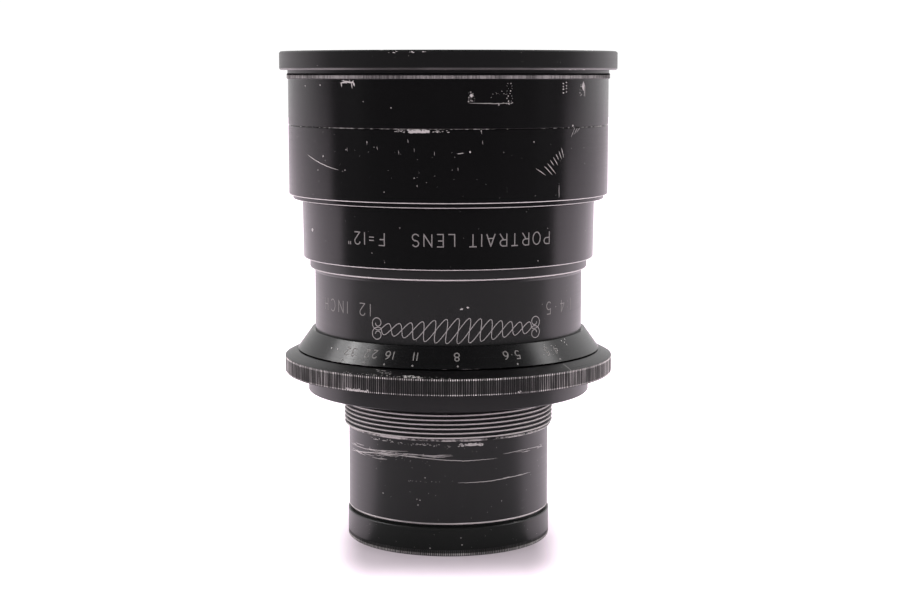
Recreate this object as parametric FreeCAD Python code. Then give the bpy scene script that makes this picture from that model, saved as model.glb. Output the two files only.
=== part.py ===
"""Barrel-mounted telephoto portrait lens, standing on its rear end.

The origin is the centre of the rear end and +Z is the lens axis towards the subject.
Angles of scale marks are counted about +Z from the -Y direction, towards +X.
"""
import FreeCAD
import Part

import math
import os

os.makedirs("parts", exist_ok=True)

V = FreeCAD.Vector
ORIGIN = V(0, 0, 0)
AXIS = V(0, 0, 1)

# Fits
SCREW_FIT = 0.05          # radial gap of a screwed or pushed-in joint
RUNNING_FIT = 0.15        # radial gap between the turning ring and the barrel
EDGE = 0.2                # broken edge on turned parts

# Flange thread: 2 inch by 24 turns per inch
THREAD_R = 25.4
THREAD_PITCH = 25.4 / 24
THREAD_DEPTH = 0.64 * THREAD_PITCH
THREAD_LOW = 27.5
THREAD_HIGH = 35.2

# Stations along the axis, from the rear end up
REAR_KNURL_Z = 1.33
REAR_CELL_Z = 6.7
TUBE_Z = 7.5
REAR_SPIGOT_Z = 16.5
FLANGE_Z = 36.07
BARREL_LOW_Z = 37.4       # lower end of the main barrel, screwed down over the iris block
SHOULDER_Z = 40.4
RING_LOW_Z = 40.68
RING_KNURL_Z = 44.57
RING_TOP_Z = 46.04
SCALE_LOW_Z = 46.31
SCALE_TOP_Z = 51.02
COLLAR_LOW_Z = 65.6
COLLAR_BEAD_Z = 66.15
MIDDLE_LOW_Z = 68.42
MIDDLE_SPIGOT_LOW_Z = 73.0
MIDDLE_BEVEL_Z = 82.1
MIDDLE_COLLAR_Z = 82.63
FRONT_LOW_Z = 83.62
FRONT_SPIGOT_LOW_Z = 89.0
CELL_LOW_Z = 100.07
CELL_KNURL_Z = 110.92
CELL_TOP_Z = 112.29
RIM_LOW_Z = 113.01
RIM_TOP_Z = 117.4

# Outside radii, and the bores of the long tubes
REAR_CELL_R = 24.63
TUBE_R = 24.35
SHOULDER_R = 34.1
RING_R = 39.7
RING_BEVEL_R = 36.8
SCALE_LOW_R = 36.6
SCALE_TOP_R = 33.2
MAIN_R = 32.3
MAIN_BORE_R = 30.0
TUBE_BORE_R = 22.4
REAR_SOCKET_R = 23.4      # bore at the tube's lower end, which takes the rear cell
COLLAR_R = 33.5
MIDDLE_R = 35.0
MIDDLE_COLLAR_R = 37.4
FRONT_R = 38.35
CELL_KNURL_R = 38.65
RIM_R = 40.4

# Baffles
BAFFLE = 0.8
MIDDLE_BAFFLE_BORE_R = 26.8
FRONT_BAFFLE_BORE_R = 30.3

# Iris
BLADES = 12
F_WIDE = 4.5
F_SMALL = 32
BLADE_INNER_R = 20.5
BLADE_WIDTH = 7.6
BLADE_THICKNESS = 0.06
BLADE_ARC = 146.0         # degrees between the two pins of a blade
BLADE_RISE = 0.03         # climb of a blade, in mm per degree, so that neighbours overlap freely
PIN_CIRCLE_R = 24.4
PIN_R = 0.6
BLADE_OVERHANG = 10.0     # degrees that a blade's rounded ends may reach past its pins
SWING = 2 * math.degrees(math.asin(BLADE_INNER_R * (1 - F_WIDE / F_SMALL) / (2 * PIN_CIRCLE_R)))
RING_TRAVEL = 2 * SWING   # the ring turns clockwise, seen from the front, to stop down
ROTOR_R = 30.4
ROTOR_BORE_R = 20.7
ROTOR_LOW_Z = 41.75
ROTOR_TOP_Z = 43.55
SLEEVE_R = 30.95
SLEEVE_BORE_R = ROTOR_R + 0.1
IRIS_BORE_R = 31.0
IRIS_PLATE_LOW_Z = 48.7
IRIS_PLATE_TOP_Z = 49.9
BLADE_PIVOT_Z = 48.33
IRIS_FLOOR_Z = 41.7

# Drive screw and index mark
DRIVE_ANGLE = 90.0        # polar angle about +Z of the screw, at full aperture
DRIVE_Z = 42.65
DRIVE_SHANK_R = 0.6
DRIVE_SLOT_HALF = 0.75
DRIVE_HEAD_R = 1.5
DRIVE_HEAD_LOW_R = 37.6
DRIVE_HEAD_TOP_R = 38.9
DRIVE_TIP_R = 28.6
INDEX_ANGLE = 45.5
INDEX_WIDTH = 0.3
INDEX_DEPTH = 0.15

# Scale ring grub screws
GRUB_ANGLES = (100, 180, 260)
GRUB_R = 0.5
GRUB_Z = 49.0

# Glass
FRONT_GLASS_R = 35.0
FRONT_CLEAR_R = 34.2
FRONT_GLASS_LOW_Z = 93.05
FRONT_GLASS_TOP_Z = 105.3
FRONT_CEMENT_Z = 95.2
REAR_GLASS_R = 20.5
REAR_CLEAR_R = 19.7
REAR_GLASS_TOP_Z = 14.4
REAR_CEMENT_Z = 9.74
REAR_GLASS_LOW_Z = 3.6


def export(name, shape):
    """Writes one node, as a single valid solid or a group of them."""
    assert shape.isValid() and shape.Volume > 0, name
    shape.exportStep("parts/" + name + ".step")


def turned(outline):
    """Turns a closed outline of (radius, height) or (radius, height, chamfer) corners."""
    points = []
    for i, corner in enumerate(outline):
        here = V(corner[0], 0, corner[1])
        if len(corner) == 2:
            points.append(here)
            continue
        for side in (outline[i - 1], outline[(i + 1) % len(outline)]):
            towards = (V(side[0], 0, side[1]) - here).normalize()
            points.append(here + towards * corner[2])
    face = Part.Face(Part.makePolygon(points + points[:1]))
    return upright(face.revolve(ORIGIN, AXIS, 360))


def upright(solid):
    """Gives a solid the orientation that has a positive volume."""
    if solid.Volume < 0:
        solid.reverse()
    return solid


def polar(radius, degrees, height=0.0):
    """Point at a radius and a polar angle about +Z."""
    turn = math.radians(degrees)
    return V(radius * math.cos(turn), radius * math.sin(turn), height)


def mark_direction(degrees):
    """Polar angle of a scale angle, which is counted from the -Y direction."""
    return degrees - 90


def radial_pin(radius, inner_r, outer_r, degrees, height):
    """Cylinder that points away from the lens axis."""
    start = polar(inner_r, degrees, height)
    return Part.makeCylinder(radius, outer_r - inner_r, start, polar(1, degrees))


def screw_slot(width, depth, length, head_top_r, degrees, height):
    """Driver slot across the outer end of a radial screw."""
    box = Part.makeBox(depth, width, length, V(head_top_r - depth, -width / 2, -length / 2))
    box.rotate(ORIGIN, AXIS, degrees)
    box.translate(V(0, 0, height))
    return box


def arc_box(inner_r, outer_r, low_z, high_z, start, sweep):
    """Curved block that spans a sweep of polar angle."""
    face = Part.Face(Part.makePolygon([
        V(inner_r, 0, low_z), V(outer_r, 0, low_z), V(outer_r, 0, high_z), V(inner_r, 0, high_z),
        V(inner_r, 0, low_z)]))
    block = upright(face.revolve(ORIGIN, AXIS, sweep))
    block.rotate(ORIGIN, AXIS, start)
    return block


def sag(curve, radius):
    """Height of a spherical surface's middle above its edge; negative for a hollow one."""
    return math.copysign(abs(curve) - math.sqrt(curve ** 2 - radius ** 2), curve)


def glass_edge(curve, radius, middle_z):
    """Arc of a spherical surface from the axis out to a radius; curve > 0 bulges up."""
    start = V(0, 0, middle_z)
    half = V(radius / 2, 0, middle_z - sag(curve, radius / 2))
    end = V(radius, 0, middle_z - sag(curve, radius))
    return Part.Arc(start, half, end).toShape(), end


def lens_element(rim_r, upper, lower):
    """Glass element between two surfaces, each (curve, middle height, clear radius)."""
    top, top_end = glass_edge(upper[0], upper[2], upper[1])
    bottom, bottom_end = glass_edge(lower[0], lower[2], lower[1])
    corners = [top_end]
    corners += [V(rim_r, 0, top_end.z)] if upper[2] < rim_r else []
    corners += [V(rim_r, 0, bottom_end.z)] if lower[2] < rim_r else []
    corners += [bottom_end]
    rim = Part.makePolygon(corners)
    centre = Part.makeLine(V(0, 0, lower[1]), V(0, 0, upper[1]))
    wire = Part.Wire(Part.__sortEdges__([top, bottom, centre] + rim.Edges))
    return upright(Part.Face(wire).revolve(ORIGIN, AXIS, 360))


def front_group():
    """Wide cemented doublet in its cell, under the hood ring."""
    crown_curve, cement_curve, flint_curve = 95, -80, -300
    crown_top = FRONT_GLASS_TOP_Z + sag(crown_curve, FRONT_CLEAR_R)
    flint_low = FRONT_GLASS_LOW_Z + sag(flint_curve, FRONT_CLEAR_R)
    export("front_crown_element", lens_element(
        FRONT_GLASS_R,
        (crown_curve, crown_top, FRONT_CLEAR_R),
        (cement_curve, FRONT_CEMENT_Z, FRONT_GLASS_R)))
    export("front_flint_element", lens_element(
        FRONT_GLASS_R,
        (cement_curve, FRONT_CEMENT_Z, FRONT_GLASS_R),
        (flint_curve, flint_low, FRONT_CLEAR_R)))

    spigot_r = 37.15
    seat_r = 34.25
    seat = FRONT_GLASS_LOW_Z - 1.85
    ring_r = 35.9
    ring_top = 107.9
    rim_spigot_r = 36.8
    ledge = 108.3
    export("front_cell", turned([
        (spigot_r, seat), (spigot_r, CELL_LOW_Z), (FRONT_R, CELL_LOW_Z, EDGE),
        (FRONT_R, CELL_KNURL_Z), (CELL_KNURL_R, CELL_KNURL_Z, EDGE),
        (CELL_KNURL_R, CELL_TOP_Z, EDGE), (rim_spigot_r, CELL_TOP_Z), (rim_spigot_r, ledge),
        (ring_r, ledge), (ring_r, FRONT_GLASS_TOP_Z), (FRONT_GLASS_R + SCREW_FIT, FRONT_GLASS_TOP_Z),
        (FRONT_GLASS_R + SCREW_FIT, FRONT_GLASS_LOW_Z), (seat_r, FRONT_GLASS_LOW_Z),
        (seat_r, seat)]))

    ring = turned([
        (seat_r, FRONT_GLASS_TOP_Z), (ring_r - SCREW_FIT, FRONT_GLASS_TOP_Z),
        (ring_r - SCREW_FIT, ring_top), (ring_r - 0.6, ring_top), (seat_r, ring_top - 1.8)])
    spanner_slots = Part.makeBox(80, 1.6, 1.2, V(-40, -0.8, ring_top - 1.0))
    export("front_retaining_ring", ring.cut(spanner_slots))

    filter_bore_r = 38.1
    filter_floor = 114.2
    mouth_r = 35.4

    neck_r = 38.45
    export("front_rim", turned([
        (rim_spigot_r - SCREW_FIT, ledge), (rim_spigot_r - SCREW_FIT, CELL_TOP_Z),
        (neck_r, CELL_TOP_Z), (neck_r, RIM_LOW_Z), (RIM_R, RIM_LOW_Z, 0.35),
        (RIM_R, RIM_TOP_Z, 0.35), (filter_bore_r + 0.6, RIM_TOP_Z, EDGE),
        (filter_bore_r, RIM_TOP_Z - 0.7), (filter_bore_r, filter_floor),
        (mouth_r, filter_floor - 0.6), (mouth_r, ledge)]))


def barrels():
    """The three stepped barrels and the baffles clamped between them."""
    front_bore_r = 36.0
    cell_bore_r = 37.2
    spigot_r = 36.9
    baffle_top = FRONT_SPIGOT_LOW_Z + BAFFLE
    export("front_barrel", turned([
        (FRONT_R, FRONT_LOW_Z, EDGE), (FRONT_R, CELL_LOW_Z, EDGE), (cell_bore_r, CELL_LOW_Z),
        (cell_bore_r, baffle_top + 1.2), (front_bore_r, baffle_top + 1.2),
        (front_bore_r, baffle_top), (spigot_r + SCREW_FIT, baffle_top),
        (spigot_r + SCREW_FIT, FRONT_LOW_Z)]))
    export("front_baffle", turned([
        (FRONT_BAFFLE_BORE_R, FRONT_SPIGOT_LOW_Z), (spigot_r, FRONT_SPIGOT_LOW_Z),
        (spigot_r, baffle_top), (FRONT_BAFFLE_BORE_R, baffle_top)]))

    middle_bore_r = 33.6
    lip_r = 32.2
    inner_spigot_r = 33.0
    baffle_top = MIDDLE_SPIGOT_LOW_Z + BAFFLE
    lip_top = baffle_top + 1.2
    export("middle_barrel", turned([
        (inner_spigot_r + SCREW_FIT, MIDDLE_LOW_Z), (MIDDLE_R, MIDDLE_LOW_Z, 0.3),
        (MIDDLE_R + 0.16, MIDDLE_BEVEL_Z), (MIDDLE_COLLAR_R, MIDDLE_COLLAR_Z, 0.1),
        (MIDDLE_COLLAR_R, FRONT_LOW_Z), (spigot_r, FRONT_LOW_Z), (spigot_r, FRONT_SPIGOT_LOW_Z),
        (middle_bore_r, FRONT_SPIGOT_LOW_Z), (middle_bore_r, lip_top), (lip_r, lip_top),
        (lip_r, baffle_top), (inner_spigot_r + SCREW_FIT, baffle_top)]))
    export("middle_baffle", turned([
        (MIDDLE_BAFFLE_BORE_R, MIDDLE_SPIGOT_LOW_Z), (inner_spigot_r, MIDDLE_SPIGOT_LOW_Z),
        (inner_spigot_r, baffle_top), (MIDDLE_BAFFLE_BORE_R, baffle_top)]))

    main = turned([
        (MAIN_R, BARREL_LOW_Z), (MAIN_R, COLLAR_LOW_Z - 0.5), (MAIN_R + 0.3, COLLAR_LOW_Z),
        (COLLAR_R, COLLAR_BEAD_Z, EDGE), (COLLAR_R, MIDDLE_LOW_Z), (inner_spigot_r, MIDDLE_LOW_Z),
        (inner_spigot_r, MIDDLE_SPIGOT_LOW_Z), (MAIN_BORE_R, MIDDLE_SPIGOT_LOW_Z),
        (MAIN_BORE_R, IRIS_PLATE_TOP_Z), (IRIS_BORE_R, IRIS_PLATE_TOP_Z), (IRIS_BORE_R, BARREL_LOW_Z)])
    slot = drive_slot(IRIS_BORE_R - 1, MAIN_R + 1, DRIVE_Z - DRIVE_SLOT_HALF)
    export("main_barrel", main.cut(slot))


def drive_slot(inner_r, outer_r, low_z):
    """Window that the drive screw sweeps through as the ring turns."""
    margin = math.degrees((DRIVE_SHANK_R + 0.2) / IRIS_BORE_R)
    return arc_box(inner_r, outer_r, low_z, DRIVE_Z + DRIVE_SLOT_HALF,
                   DRIVE_ANGLE - RING_TRAVEL - margin, RING_TRAVEL + 2 * margin)


def scale_cone_radius(height):
    """Outside radius of the scale cone at a height."""
    share = (height - SCALE_LOW_Z) / (SCALE_TOP_Z - SCALE_LOW_Z)
    return SCALE_LOW_R + share * (SCALE_TOP_R - SCALE_LOW_R)


def scale_ring():
    """Fixed cone with the f-number scale, held by three grub screws."""
    bore_r = MAIN_R + SCREW_FIT
    cone = turned([
        (bore_r, SCALE_LOW_Z), (SCALE_LOW_R, SCALE_LOW_Z, 0.1), (SCALE_TOP_R, SCALE_TOP_Z, 0.1),
        (bore_r, SCALE_TOP_Z)])
    screws = []
    for angle in GRUB_ANGLES:
        at = mark_direction(angle)
        cone = cone.cut(radial_pin(GRUB_R + 0.02, bore_r - 0.1, SCALE_LOW_R, at, GRUB_Z))
        head_r = scale_cone_radius(GRUB_Z + GRUB_R)
        screw = radial_pin(GRUB_R, bore_r - SCREW_FIT, head_r, at, GRUB_Z)
        screws.append(screw.cut(screw_slot(0.3, 0.4, 4 * GRUB_R, head_r, at, GRUB_Z)))
    export("scale_ring", cone)
    export("scale_grub_screws", Part.makeCompound(screws))


def aperture_ring():
    """Knurled ring, its index mark and the screw that drives the rotor."""
    ring = turned([
        (MAIN_R + RUNNING_FIT, RING_LOW_Z), (RING_R, RING_LOW_Z, EDGE), (RING_R, RING_KNURL_Z),
        (RING_BEVEL_R, RING_TOP_Z, 0.1), (MAIN_R + RUNNING_FIT, RING_TOP_Z)])
    slope = math.degrees(math.atan2(RING_TOP_Z - RING_KNURL_Z, RING_R - RING_BEVEL_R))
    length = math.hypot(RING_TOP_Z - RING_KNURL_Z, RING_R - RING_BEVEL_R)
    index = Part.makeBox(length + 1, INDEX_WIDTH, 1, V(-0.5, -INDEX_WIDTH / 2, -INDEX_DEPTH))
    index.rotate(ORIGIN, V(0, 1, 0), slope)
    index.translate(V(RING_BEVEL_R, 0, RING_TOP_Z))
    index.rotate(ORIGIN, AXIS, mark_direction(INDEX_ANGLE))
    ring = ring.cut(index)
    ring = ring.cut(radial_pin(DRIVE_SHANK_R + 0.02, MAIN_R, RING_R, DRIVE_ANGLE, DRIVE_Z))
    ring = ring.cut(radial_pin(DRIVE_HEAD_R + 0.1, DRIVE_HEAD_LOW_R, RING_R + 1, DRIVE_ANGLE, DRIVE_Z))
    export("aperture_ring", ring)

    shank = radial_pin(DRIVE_SHANK_R, DRIVE_TIP_R, DRIVE_HEAD_LOW_R + 0.1, DRIVE_ANGLE, DRIVE_Z)
    head = radial_pin(DRIVE_HEAD_R, DRIVE_HEAD_LOW_R, DRIVE_HEAD_TOP_R, DRIVE_ANGLE, DRIVE_Z)
    slot = screw_slot(0.5, 0.5, 4 * DRIVE_HEAD_R, DRIVE_HEAD_TOP_R, DRIVE_ANGLE, DRIVE_Z)
    export("aperture_drive_screw", shank.fuse(head).cut(slot))


def drive_pin_in_rotor(swing):
    """Place of a blade's drive pin, seen from the rotor, when the blade has swung so far."""
    pivot = polar(PIN_CIRCLE_R, 0)
    pin = polar(PIN_CIRCLE_R, -BLADE_ARC)
    turn = FreeCAD.Rotation(AXIS, -swing)
    place = pivot + turn.multVec(pin - pivot)
    return FreeCAD.Rotation(AXIS, 2 * swing).multVec(place)


def rotor_slot():
    """Slot along the path of a drive pin: straight pieces with round ends, joined."""
    half = PIN_R + 0.06
    steps = 10
    path = [drive_pin_in_rotor(SWING * i / steps) for i in range(steps + 1)]
    height = ROTOR_TOP_Z - ROTOR_LOW_Z + 2
    base = V(0, 0, ROTOR_LOW_Z - 1)
    pieces = [Part.makeCylinder(half, height, point + base) for point in path]
    for start, end in zip(path, path[1:]):
        along = end - start
        side = V(-along.y, along.x, 0).normalize() * half
        corners = [start + side, end + side, end - side, start - side, start + side]
        face = Part.Face(Part.makePolygon([corner + base for corner in corners]))
        pieces.append(face.extrude(V(0, 0, height)))
    return pieces[0].multiFuse(pieces[1:]).removeSplitter()


def iris_housing():
    """Rotor, spacer sleeve and fixed pivot plate."""
    rotor = turned([
        (ROTOR_BORE_R, ROTOR_LOW_Z), (ROTOR_R, ROTOR_LOW_Z), (ROTOR_R, ROTOR_TOP_Z),
        (ROTOR_BORE_R, ROTOR_TOP_Z)])
    slot = rotor_slot()
    slots = []
    for i in range(BLADES):
        copy = slot.copy()
        copy.rotate(ORIGIN, AXIS, i * 360 / BLADES)
        slots.append(copy)
    rotor = rotor.cut(slots)
    drive_hole = radial_pin(DRIVE_SHANK_R, DRIVE_TIP_R, MAIN_R, DRIVE_ANGLE, DRIVE_Z)
    export("iris_rotor", rotor.cut(drive_hole))

    sleeve = turned([
        (SLEEVE_BORE_R, IRIS_FLOOR_Z), (SLEEVE_R, IRIS_FLOOR_Z), (SLEEVE_R, IRIS_PLATE_LOW_Z),
        (SLEEVE_BORE_R, IRIS_PLATE_LOW_Z)])
    export("iris_sleeve", sleeve.cut(drive_slot(SLEEVE_BORE_R - 1, SLEEVE_R + 1, IRIS_FLOOR_Z - 1)))

    plate = turned([
        (BLADE_INNER_R + 0.2, IRIS_PLATE_LOW_Z), (SLEEVE_R, IRIS_PLATE_LOW_Z),
        (SLEEVE_R, IRIS_PLATE_TOP_Z), (BLADE_INNER_R + 0.2, IRIS_PLATE_TOP_Z)])
    holes = [Part.makeCylinder(PIN_R + SCREW_FIT, 2 * (IRIS_PLATE_TOP_Z - IRIS_PLATE_LOW_Z),
                               polar(PIN_CIRCLE_R, i * 360 / BLADES, IRIS_PLATE_LOW_Z - 0.5))
             for i in range(BLADES)]
    export("iris_base_plate", plate.cut(holes))


def blade():
    """Spiral blade of the first pivot, with its pivot pin up and its drive pin down.

    It runs clockwise, seen from the front, from its pivot and sinks as it goes, so each
    blade passes under the next one's pivot end at every opening.
    """
    pitch = 360 * BLADE_RISE
    reach = BLADE_ARC + 2 * BLADE_OVERHANG
    inner_r, outer_r = BLADE_INNER_R - 1, BLADE_INNER_R + BLADE_WIDTH + 1
    rails = [Part.makeHelix(pitch, BLADE_RISE * reach, r).Edges for r in (inner_r, outer_r)]
    start = BLADE_PIVOT_Z - BLADE_RISE * (BLADE_ARC + BLADE_OVERHANG) - BLADE_THICKNESS / 2
    strips = []
    for inner, outer in zip(*rails):
        strips.append(Part.makeRuledSurface(inner, outer).extrude(V(0, 0, BLADE_THICKNESS)))
    strip = strips[0] if len(strips) == 1 else strips[0].multiFuse(strips[1:])
    strip.rotate(ORIGIN, AXIS, -(BLADE_ARC + BLADE_OVERHANG))
    strip.translate(V(0, 0, start))

    middle_r = BLADE_INNER_R + BLADE_WIDTH / 2
    depth = 10
    low = V(0, 0, BLADE_PIVOT_Z - 0.75 * depth)
    outline = arc_box(BLADE_INNER_R, BLADE_INNER_R + BLADE_WIDTH, low.z, low.z + depth,
                      -BLADE_ARC, BLADE_ARC)
    ends = [Part.makeCylinder(BLADE_WIDTH / 2, depth, polar(middle_r, angle) + low)
            for angle in (0, -BLADE_ARC)]
    leaf = strip.common(outline.multiFuse(ends))

    pivot_top = IRIS_PLATE_TOP_Z - 0.1
    pivot = Part.makeCylinder(PIN_R, pivot_top - BLADE_PIVOT_Z, polar(PIN_CIRCLE_R, 0, BLADE_PIVOT_Z))
    drive_low = ROTOR_LOW_Z + 0.25
    drive_top = BLADE_PIVOT_Z - BLADE_RISE * BLADE_ARC
    drive = Part.makeCylinder(PIN_R, drive_top - drive_low, polar(PIN_CIRCLE_R, -BLADE_ARC, drive_low))
    return leaf.multiFuse([pivot, drive])


def iris_blades():
    """Twelve blades, one node each."""
    first = blade()
    for i in range(BLADES):
        copy = first.copy()
        copy.rotate(ORIGIN, AXIS, i * 360 / BLADES)
        export("iris_blade_%02d" % (i + 1), upright(copy))


def thread_ridge(root_r):
    """Screw thread of the flange, a triangular ridge with a flat crest."""
    low, high = THREAD_LOW - THREAD_PITCH, THREAD_HIGH + THREAD_PITCH
    helix = Part.makeHelix(THREAD_PITCH, high - low, root_r)
    helix.translate(V(0, 0, low))
    sink = 0.1
    base = 0.46 * THREAD_PITCH
    crest = 0.07 * THREAD_PITCH
    profile = Part.makePolygon([
        V(root_r - sink, 0, low - base), V(THREAD_R, 0, low - crest), V(THREAD_R, 0, low + crest),
        V(root_r - sink, 0, low + base), V(root_r - sink, 0, low - base)])
    ridge = upright(Part.Wire(helix).makePipeShell([profile], True, True))
    ends = turned([
        (root_r - 1, THREAD_LOW - 0.3), (root_r - 0.2, THREAD_LOW - 0.3),
        (THREAD_R + 0.1, THREAD_LOW + 0.6),
        (THREAD_R + 0.1, THREAD_HIGH - 0.3), (root_r - 0.2, THREAD_HIGH + 0.6),
        (root_r - 1, THREAD_HIGH + 0.6)])
    return ridge.common(ends)


def mount_body():
    """Shoulder that carries the barrel, flange thread and rear tube, in one piece."""
    root_r = THREAD_R - THREAD_DEPTH
    relief_r = THREAD_R + 0.3
    relief_top = FLANGE_Z + 0.4
    groove_r = MAIN_R + SCREW_FIT
    block_r = IRIS_BORE_R - SCREW_FIT
    body = turned([
        (TUBE_R, TUBE_Z, 0.15), (TUBE_R, THREAD_LOW), (root_r, THREAD_LOW + 0.1),
        (root_r, relief_top), (relief_r, relief_top), (relief_r, FLANGE_Z),
        (SHOULDER_R, FLANGE_Z, EDGE), (SHOULDER_R, SHOULDER_Z, EDGE), (groove_r, SHOULDER_Z),
        (groove_r, BARREL_LOW_Z), (block_r, BARREL_LOW_Z), (block_r, IRIS_FLOOR_Z),
        (TUBE_BORE_R, IRIS_FLOOR_Z), (TUBE_BORE_R, REAR_SPIGOT_Z), (REAR_SOCKET_R, REAR_SPIGOT_Z),
        (REAR_SOCKET_R, TUBE_Z)])
    export("mount_body", body.fuse(thread_ridge(root_r)))


def rear_group():
    """Negative cemented doublet in its cell."""
    top_curve, cement_curve, low_curve = -75, 60, 180
    negative_top = REAR_GLASS_TOP_Z + sag(top_curve, REAR_CLEAR_R)
    positive_low = REAR_GLASS_LOW_Z + sag(low_curve, REAR_CLEAR_R)
    export("rear_negative_element", lens_element(
        REAR_GLASS_R,
        (top_curve, negative_top, REAR_CLEAR_R),
        (cement_curve, REAR_CEMENT_Z, REAR_GLASS_R)))
    export("rear_positive_element", lens_element(
        REAR_GLASS_R,
        (cement_curve, REAR_CEMENT_Z, REAR_GLASS_R),
        (low_curve, positive_low, REAR_CLEAR_R)))

    ring_r = 21.35
    ring_low = 1.2
    ring_bore_r = 18.6
    mouth_r = 22.2
    seat_r = 19.3
    spigot_r = REAR_SOCKET_R - SCREW_FIT
    export("rear_cell", turned([
        (mouth_r, 0), (REAR_CELL_R, 0, EDGE), (REAR_CELL_R, REAR_CELL_Z, EDGE),
        (spigot_r, REAR_CELL_Z), (spigot_r, REAR_SPIGOT_Z), (seat_r, REAR_SPIGOT_Z),
        (seat_r, REAR_GLASS_TOP_Z), (REAR_GLASS_R + SCREW_FIT, REAR_GLASS_TOP_Z),
        (REAR_GLASS_R + SCREW_FIT, REAR_GLASS_LOW_Z), (ring_r, REAR_GLASS_LOW_Z), (ring_r, 0.85)]))
    ring = turned([
        (ring_bore_r, ring_low + 0.4), (ring_bore_r + 0.8, ring_low), (ring_r - SCREW_FIT, ring_low),
        (ring_r - SCREW_FIT, REAR_GLASS_LOW_Z), (ring_bore_r, REAR_GLASS_LOW_Z)])
    spanner_slots = Part.makeBox(60, 1.2, 1.0, V(-30, -0.6, ring_low - 0.2))
    export("rear_retaining_ring", ring.cut(spanner_slots))


front_group()
barrels()
scale_ring()
aperture_ring()
iris_housing()
iris_blades()
mount_body()
rear_group()
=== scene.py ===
"""Studio view of a black-finished portrait lens that stands on its rear end.

Lengths are metres unless a name says mm. Angles of marks are in degrees about the lens
axis, counted from the -Y side towards +X, as the f-number scale runs.
"""
import math

import bmesh
import bpy
import numpy as np
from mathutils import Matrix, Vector


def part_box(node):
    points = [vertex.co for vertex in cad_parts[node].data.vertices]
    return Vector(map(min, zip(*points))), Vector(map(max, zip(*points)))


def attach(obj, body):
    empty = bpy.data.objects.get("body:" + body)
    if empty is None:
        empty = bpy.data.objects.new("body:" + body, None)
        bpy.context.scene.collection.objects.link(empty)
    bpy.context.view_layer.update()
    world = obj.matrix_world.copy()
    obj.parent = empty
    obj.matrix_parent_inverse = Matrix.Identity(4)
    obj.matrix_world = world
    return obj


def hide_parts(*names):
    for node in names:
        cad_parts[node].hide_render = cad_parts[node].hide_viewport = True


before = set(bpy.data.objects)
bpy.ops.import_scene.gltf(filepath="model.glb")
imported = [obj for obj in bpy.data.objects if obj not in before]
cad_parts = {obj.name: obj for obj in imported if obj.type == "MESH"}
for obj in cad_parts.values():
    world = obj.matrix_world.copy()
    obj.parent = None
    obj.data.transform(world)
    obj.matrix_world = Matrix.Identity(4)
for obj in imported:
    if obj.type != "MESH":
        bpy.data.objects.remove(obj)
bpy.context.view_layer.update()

MM = 0.001
LIFT = 0.012 * MM          # height of paint and bare spots over the surface that they lie on
LIFT_STEP = 0.002 * MM     # how much higher each of five neighbours lies than the last
SINK = 0.05 * MM           # depth of their underside below it

BODY = "lens_body"
RING = "aperture_ring"


# ---------------- camera and studio

SENSOR_MM = 36
LENS_MM = 72.04
DISTANCE = 0.4354
EYE_HEIGHT = 0.1128
LOOK_DOWN = 7.25           # degrees
SIDE_STEP = 0.0004         # how far right of the lens axis the camera stands


def camera():
    """Camera level with the front rim, looking slightly down."""
    data = bpy.data.cameras.new("camera")
    data.sensor_width = SENSOR_MM
    data.lens = LENS_MM
    eye = bpy.data.objects.new("camera", data)
    eye.location = (SIDE_STEP, -DISTANCE, EYE_HEIGHT)
    eye.rotation_euler = (math.radians(90 - LOOK_DOWN), 0, 0)
    bpy.context.collection.objects.link(eye)
    bpy.context.scene.camera = eye


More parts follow.
